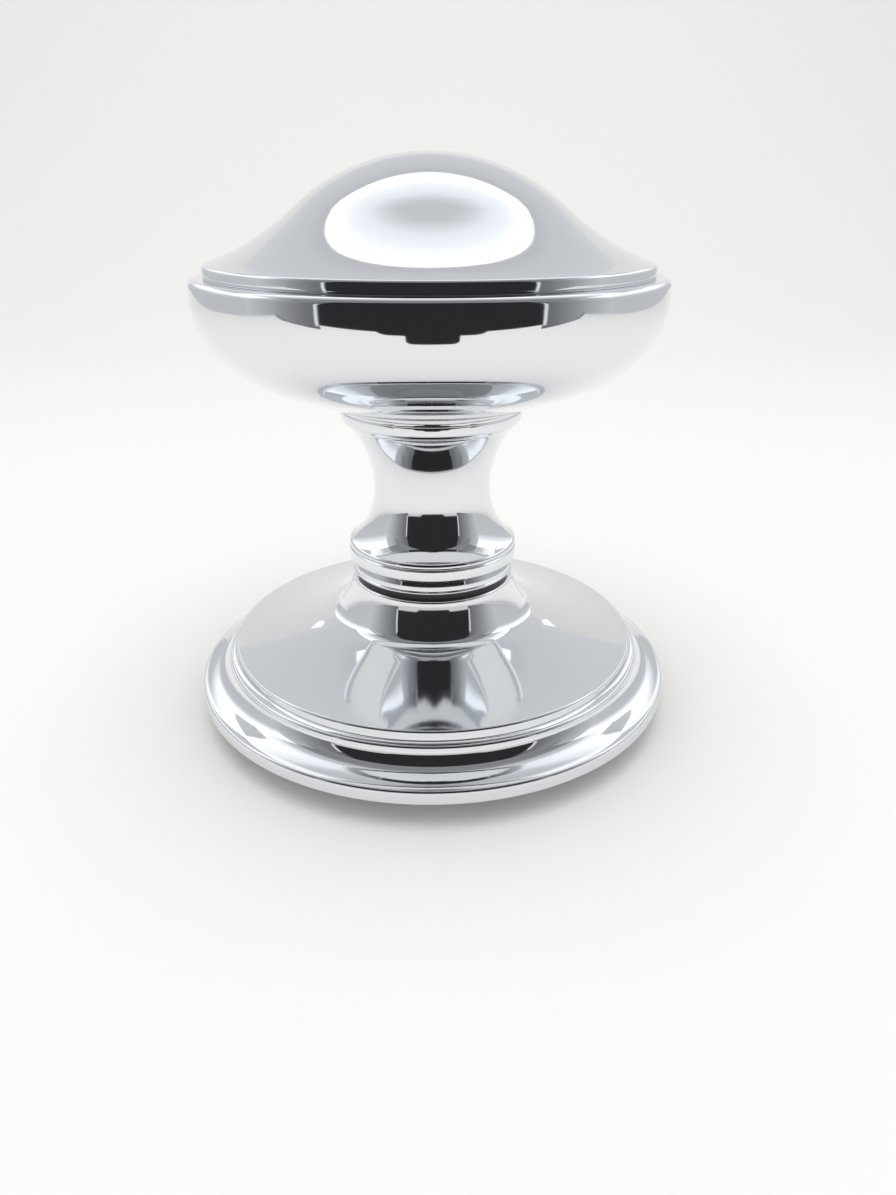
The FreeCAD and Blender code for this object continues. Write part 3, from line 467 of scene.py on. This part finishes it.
def light_panel(name, centre, size, across, up, stops, axis="Z", corner_round=0):
    """A flat glowing panel whose brightness runs through the stops (place in metres, brightness)."""
    mesh = bmesh.new()
    bmesh.ops.create_grid(mesh, x_segments=1, y_segments=1, size=0.5)
    across, up = Vector(across), Vector(up)
    for corner in mesh.verts:
        corner.co = Vector(centre) + across * (corner.co.x * size[0]) + up * (corner.co.y * size[1])
    if corner_round:
        bmesh.ops.bevel(
            mesh, geom=mesh.verts[:], offset=corner_round, offset_type="OFFSET", segments=8, profile=0.5,
            affect="VERTICES", material=-1,
        )
    data = bpy.data.meshes.new(name)
    mesh.to_mesh(data)
    mesh.free()
    panel = bpy.data.objects.new(name, data)
    bpy.context.scene.collection.objects.link(panel)
    material = bpy.data.materials.new(name)
    material.use_nodes = True
    tree = material.node_tree
    tree.nodes.clear()
    place = tree.nodes.new("ShaderNodeTexCoord")
    parts = tree.nodes.new("ShaderNodeSeparateXYZ")
    span = add_node(tree, "ShaderNodeMapRange")
    first, last = stops[0][0], stops[-1][0]
    span.inputs["From Min"].default_value = first
    span.inputs["From Max"].default_value = last
    ramp = tree.nodes.new("ShaderNodeValToRGB")
    brightest = max(brightness for _, brightness in stops)
    for index, (where, brightness) in enumerate(stops):
        if index < 2:
            stop = ramp.color_ramp.elements[index]
            stop.position = (where - first) / (last - first)
        else:
            stop = ramp.color_ramp.elements.new((where - first) / (last - first))
        stop.color = (*(part * brightness / brightest for part in CLOTH_TINT), 1)
    glow = tree.nodes.new("ShaderNodeEmission")
    glow.inputs["Strength"].default_value = brightest
    out = tree.nodes.new("ShaderNodeOutputMaterial")
    tree.links.new(place.outputs["Object"], parts.inputs["Vector"])
    tree.links.new(parts.outputs[axis], span.inputs["Value"])
    tree.links.new(span.outputs["Result"], ramp.inputs["Fac"])
    tree.links.new(ramp.outputs["Color"], glow.inputs["Color"])
    tree.links.new(glow.outputs["Emission"], out.inputs["Surface"])
    data.materials.append(material)
    panel.visible_camera = False
    panel.visible_diffuse = False
    panel.visible_shadow = False


def plain(brightness):
    """The stops of an evenly lit panel."""
    return [(0, brightness), (1, brightness)]


CLOTH_TINT = (0.96, 0.985, 1.02)
SIDE = (1, 0, 0)
DEEP = (0, 1, 0)
UP = (0, 0, 1)
DARK = 0.028                    # brightness of the unlit room behind the opening
tent_front = -0.14
tent_wide = 0.36
tent_back = 0.62
tent_top = 0.36
wall_low = 0.03
gap_half = 0.14                 # half the width of the tent's open front
gap_low = 0.042
gap_high = 0.235
shade_end = -0.03               # where the darker front of the tent ends
softbox_end = 0.2
layer = 0.001                   # keeps a panel clear of the one that it lies over
phone_place = (0.001, -0.095, 0.051)    # a phone held up in the opening, with two hands behind it
phone_size = (0.032, 0.022)
hands_place = (0.001, tent_front + 3 * layer, 0.053)
hands_size = (0.11, 0.034)
seam_level = 0.0315
seam_height = 0.003
strip_level = 0.085             # bright edges of the cloth, each side of the opening
strip_width = 0.008
strip_height = 0.09
wing_width = tent_wide - gap_half
wall_middle = (wall_low + tent_top) / 2
wall_height = tent_top - wall_low

light_panel("open_front", (0, tent_front, (gap_low + gap_high) / 2),
            (2 * gap_half, gap_high - gap_low), SIDE, UP, plain(DARK))
light_panel("over_front", (0, tent_front, (gap_high + tent_top) / 2),
            (2 * tent_wide, tent_top - gap_high), SIDE, UP, [(0, 0.22), (tent_top, 0.30)])
light_panel("front_roof", (0, (tent_front + shade_end) / 2, tent_top),
            (2 * tent_wide, shade_end - tent_front), SIDE, DEEP, [(-0.2, 0.20), (0, 0.34)], "Y")
light_panel("phone", phone_place, phone_size, SIDE, UP, plain(DARK), corner_round=0.005)
light_panel("hands", hands_place, hands_size, SIDE, UP, plain(DARK), corner_round=0.014)
for side in (-1, 1):
    wing_middle = side * (gap_half + tent_wide) / 2
    wing_stops = [(side * gap_half, 0.16), (side * 0.22, 0.28), (side * tent_wide, 0.42)]
    light_panel(f"wing_{side}", (wing_middle, tent_front, (wall_low + gap_high) / 2),
                (wing_width, gap_high - wall_low), SIDE, UP, sorted(wing_stops), "X")
    light_panel(f"seam_{side}", (wing_middle, tent_front + layer, seam_level),
                (wing_width, seam_height), SIDE, UP, plain(0.10))
    strip_middle = side * (gap_half + strip_width / 2)
    light_panel(f"strip_{side}", (strip_middle, tent_front + 2 * layer, strip_level),
                (strip_width, strip_height), SIDE, UP, plain(0.9))
    light_panel(f"front_wall_{side}", (side * tent_wide, (tent_front + shade_end) / 2, wall_middle),
                (shade_end - tent_front, wall_height), DEEP, UP,
                [(tent_front, 0.42), (shade_end, 0.66)], "Y")
    light_panel(f"wall_{side}", (side * tent_wide, (shade_end + tent_back) / 2, wall_middle),
                (tent_back - shade_end, wall_height), DEEP, UP,
                [(0.0, 0.60), (0.17, 0.66), (0.26, 1.3), (tent_top, 1.4)])
light_panel("softbox", (0, (shade_end + softbox_end) / 2, tent_top),
            (2 * tent_wide, softbox_end - shade_end), SIDE, DEEP,
            [(shade_end, 0.56), (0.045, 0.70), (0.08, 1.04), (0.12, 1.17), (0.16, 1.38), (softbox_end, 1.5)],
            "Y")
light_panel("roof", (0, (softbox_end + tent_back) / 2, tent_top),
            (2 * tent_wide, tent_back - softbox_end), SIDE, DEEP,
            [(softbox_end, 0.60), (0.26, 0.68), (tent_back, 0.75)], "Y")

# Table: a pale matt sheet that lies flat under the knob and sweeps up behind it into a wall.
# It lies a hair below the knob, so that the two faces never share a plane.
sheet_half = 4
sweep_start = 0.42
sweep_round = 0.45
table_top = -0.0002
floor_mesh = bmesh.new()
corner = floor_mesh.verts.new((-sheet_half, -sheet_half, table_top))
corner = bmesh.ops.extrude_vert_indiv(floor_mesh, verts=[corner])["verts"][0]
corner.co.y = sweep_start
bend = bmesh.ops.spin(
    floor_mesh, geom=[corner], cent=(0, sweep_start, table_top + sweep_round), axis=(1, 0, 0),
    angle=math.pi / 2, steps=48, use_merge=False, use_duplicate=False,
)
corner = next(item for item in bend["geom_last"] if isinstance(item, bmesh.types.BMVert))
corner = bmesh.ops.extrude_vert_indiv(floor_mesh, verts=[corner])["verts"][0]
corner.co.z = sheet_half
wide = bmesh.ops.extrude_edge_only(floor_mesh, edges=floor_mesh.edges[:])
far_side = [item for item in wide["geom"] if isinstance(item, bmesh.types.BMVert)]
bmesh.ops.translate(floor_mesh, vec=(2 * sheet_half, 0, 0), verts=far_side)
bmesh.ops.recalc_face_normals(floor_mesh, faces=floor_mesh.faces)
for face in floor_mesh.faces:
    face.smooth = True
floor_data = bpy.data.meshes.new("table")
floor_mesh.to_mesh(floor_data)
floor_mesh.free()
floor = bpy.data.objects.new("table", floor_data)
bpy.context.scene.collection.objects.link(floor)
floor_material, _, floor_shader = new_material("table")
floor_shader.inputs["Base Color"].default_value = (0.90, 0.90, 0.89, 1)
floor_shader.inputs["Roughness"].default_value = 0.9
floor_shader.inputs["Specular IOR Level"].default_value = 0.1
floor_data.materials.append(floor_material)

# Room light and lamp: an even pale glow from all round, and one large soft lamp overhead that gives
# the table its faint shadow. The chrome doesn't mirror the lamp.
room_glow = 0.72
lamp_side = 0.9
lamp_power = 4.3                # watts
world = bpy.data.worlds.new("studio")
world.use_nodes = True
world.node_tree.nodes["Background"].inputs["Color"].default_value = (1.0, 1.0, 0.995, 1)
world.node_tree.nodes["Background"].inputs["Strength"].default_value = room_glow
bpy.context.scene.world = world
bpy.context.scene.view_settings.view_transform = "Standard"

lamp_data = bpy.data.lights.new("soft_light", "AREA")
lamp_data.shape = "RECTANGLE"
lamp_data.size = lamp_side
lamp_data.size_y = lamp_side
lamp_data.energy = lamp_power
lamp = bpy.data.objects.new("soft_light", lamp_data)
lamp.location = (0, -0.08, 0.9)
lamp.visible_glossy = False
bpy.context.scene.collection.objects.link(lamp)

# Camera: held close in front of the knob, about level with the crown's top, and tilted down at it.
# It is so near that the head looks almost as wide as the rose.
lens_length = 25.55             # millimetres, on a sensor 36 wide
look_down = 25.24               # degrees below level
look_right = 1.11
camera_data = bpy.data.cameras.new("camera")
camera_data.sensor_fit = "AUTO"
camera_data.sensor_width = 36.0
camera_data.lens = lens_length
camera_data.clip_start = 0.01
camera_data.clip_end = 20.0
camera = bpy.data.objects.new("camera", camera_data)
camera.location = (0, -0.1537, 0.0920)
camera.rotation_euler = (math.radians(90 - look_down), 0, math.radians(-look_right))
bpy.context.scene.collection.objects.link(camera)
bpy.context.scene.camera = camera
